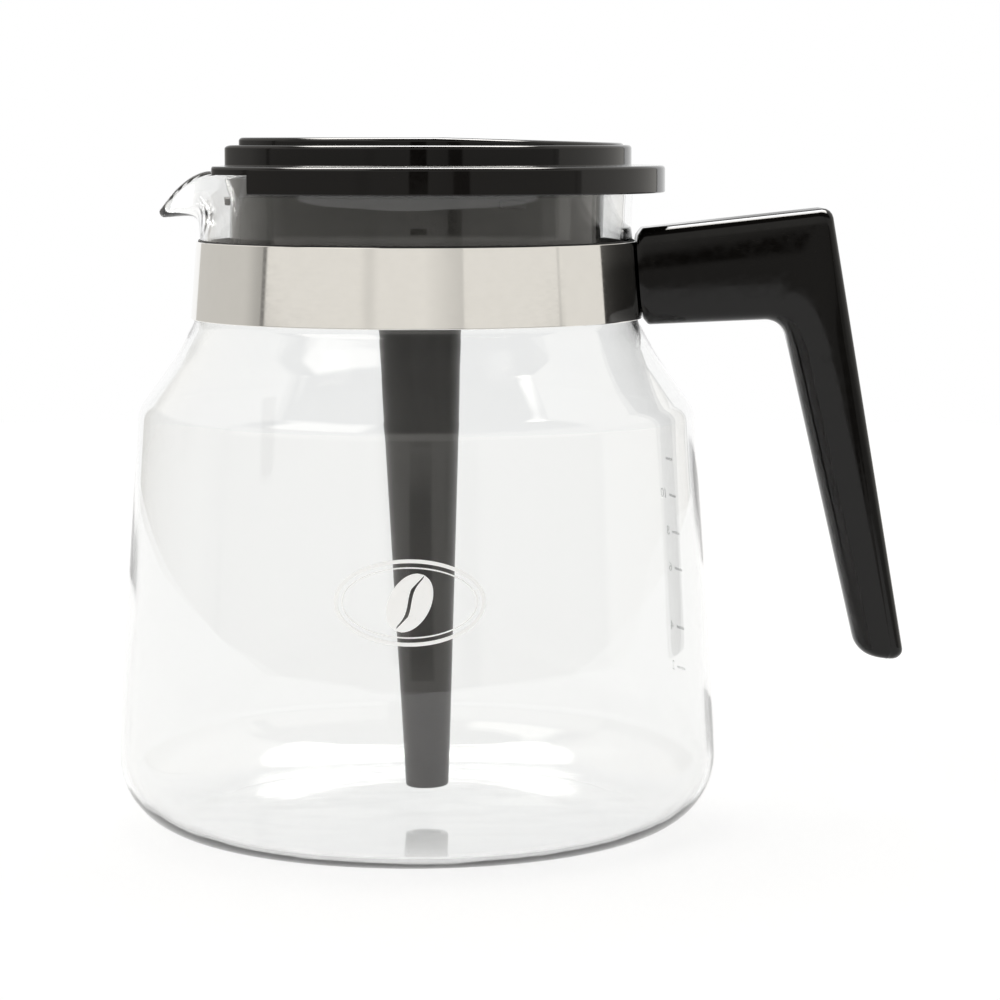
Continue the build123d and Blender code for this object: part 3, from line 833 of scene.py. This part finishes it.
toward = sky.nodes.new("ShaderNodeTexCoord").outputs["Generated"]
split = sky.nodes.new("ShaderNodeSeparateXYZ")
sky.links.new(toward, split.inputs[0])
elevation = sums("ARCSINE", split.outputs["Z"])
azimuth = sums("ARCTAN2", split.outputs["X"], sums("MULTIPLY", split.outputs["Y"], -1.0))
in_front = window(azimuth, -81.2, 82, 0.7)


def dimmed(light, share, amount):
    """The light taken down by an amount wherever the share is 1."""
    return sums("MULTIPLY", light, sums("SUBTRACT", 1.0, sums("MULTIPLY", share, amount)))


side_lamp_strength, top_lamp_strength = 2.2, 24.0

# The front by elevation: table edge, pale panels with their seams, the dark gap, the ceiling
front_light = remap(sky, elevation, -5 * degrees, -2 * degrees, 0.36, 0.4, smooth=True)
panel = window(elevation, 3, 25, 1.5)
front_light = sums("ADD", front_light, sums("MULTIPLY", panel, 0.42))
front_light = dimmed(front_light, window(elevation, 30, 78, 3), 0.88)
side_lamp = sums("MULTIPLY", window(azimuth, -68, -22, 3),
                 window(elevation, 29, 56, 2))
front_light = sums("ADD", front_light, sums("MULTIPLY", side_lamp, side_lamp_strength))
zenith = remap(sky, elevation, 78 * degrees, 84 * degrees, 0, 1, smooth=True)
front_light = sums("ADD", front_light, sums("MULTIPLY", zenith, 1.1))
stand = sums("MULTIPLY", window(azimuth, 18, 25.5, 0.7),
             remap(sky, elevation, 1 * degrees, 4 * degrees, 1, 0))
front_light = dimmed(front_light, stand, 0.7)
front_light = dimmed(front_light, window(azimuth, -24, -21, 4.5), 0.24)
slope = sums("MULTIPLY", remap(sky, azimuth, 5 * degrees, 24 * degrees, 0, 1),
             remap(sky, azimuth, 24.8 * degrees, 25.6 * degrees, 1, 0))
front_light = dimmed(front_light, slope, 0.23)
camera_gap = sums("MULTIPLY", window(azimuth, -1.9, 6.7, 0.4),
                  window(elevation, -1.2, 2, 0.4))
front_light = dimmed(front_light, camera_gap, 0.92)

# The sides and the back: dimmer walls on both sides and white behind
behind = sums("ADD", 1.0, remap(sky, elevation, 35 * degrees, 80 * degrees, 0, 0.5, smooth=True))
low = window(elevation, -12, 15, 3)
right_wall = window(azimuth, 75, 147.6, 0.6)
left_wall = window(azimuth, -150, -75, 0.6)
left_end = window(azimuth, -91, -75, 7)
behind = dimmed(behind, sums("MULTIPLY", right_wall, low), 0.2)
behind = dimmed(behind, sums("MULTIPLY", left_wall, low), 0.38)
behind = dimmed(behind, sums("MULTIPLY", left_end, low), 0.3)
light = sums("ADD", sums("MULTIPLY", front_light, in_front),
             sums("MULTIPLY", behind, sums("SUBTRACT", 1.0, in_front)))
for seam, width, depth in ((-83, 1.2, 0.5), (79, 0.8, 0.2), (147.6, 0.6, 0.8)):
    line = window(azimuth, seam - width, seam + width, 0.4)
    light = dimmed(light, line, depth)
ray = sky.nodes.new("ShaderNodeLightPath")
lean_back = sums("ARCTAN2", split.outputs["Z"], sums("MULTIPLY", split.outputs["Y"], -1.0))
top_lamp = sums("MULTIPLY", window(lean_back, 82, 121, 2),
                window(elevation, 57, 100, 3))
top_lamp = sums("MULTIPLY", top_lamp, top_lamp_strength)
top_lamp = sums("MULTIPLY", top_lamp, ray.outputs["Is Glossy Ray"])
light = sums("ADD", light, top_lamp)
warmth = sky.nodes.new("ShaderNodeMix")
warmth.data_type = "RGBA"
sky.links.new(window(azimuth, -150, 147.6, 1), warmth.inputs["Factor"])
warmth.inputs[6].default_value = (1.0, 1.0, 1.0, 1)
warmth.inputs[7].default_value = (1.0, 0.975, 0.925, 1)
seen = ray.outputs["Is Camera Ray"]
tinted = sky.nodes.new("ShaderNodeMix")
tinted.data_type = "RGBA"
sky.links.new(seen, tinted.inputs["Factor"])
sky.links.new(warmth.outputs[2], tinted.inputs[6])
tinted.inputs[7].default_value = (1, 1, 1, 1)
sky.links.new(tinted.outputs[2], background.inputs["Color"])
strength = sums("ADD", sums("MULTIPLY", light, sums("SUBTRACT", 1.0, seen)), seen)
sky.links.new(strength, background.inputs["Strength"])

camera_data = bpy.data.cameras.new("camera")
camera_data.lens = 119.5
camera_data.sensor_width = 36
camera_data.clip_start = 0.01
camera = bpy.data.objects.new("camera", camera_data)
camera.location = (0.0207, -0.825, 0.171)
camera.rotation_euler = (math.atan2(0.825, 0.171 - 0.0808), 0, 0)
bpy.context.scene.collection.objects.link(camera)
bpy.context.scene.camera = camera
bpy.context.scene.view_settings.view_transform = "Standard"
bpy.context.scene.view_settings.look = "None"
# More light bounces than usual, for the many reflections inside clear glass
light_paths = bpy.context.scene.cycles
light_paths.max_bounces = 32
light_paths.transmission_bounces = 24
light_paths.glossy_bounces = 20
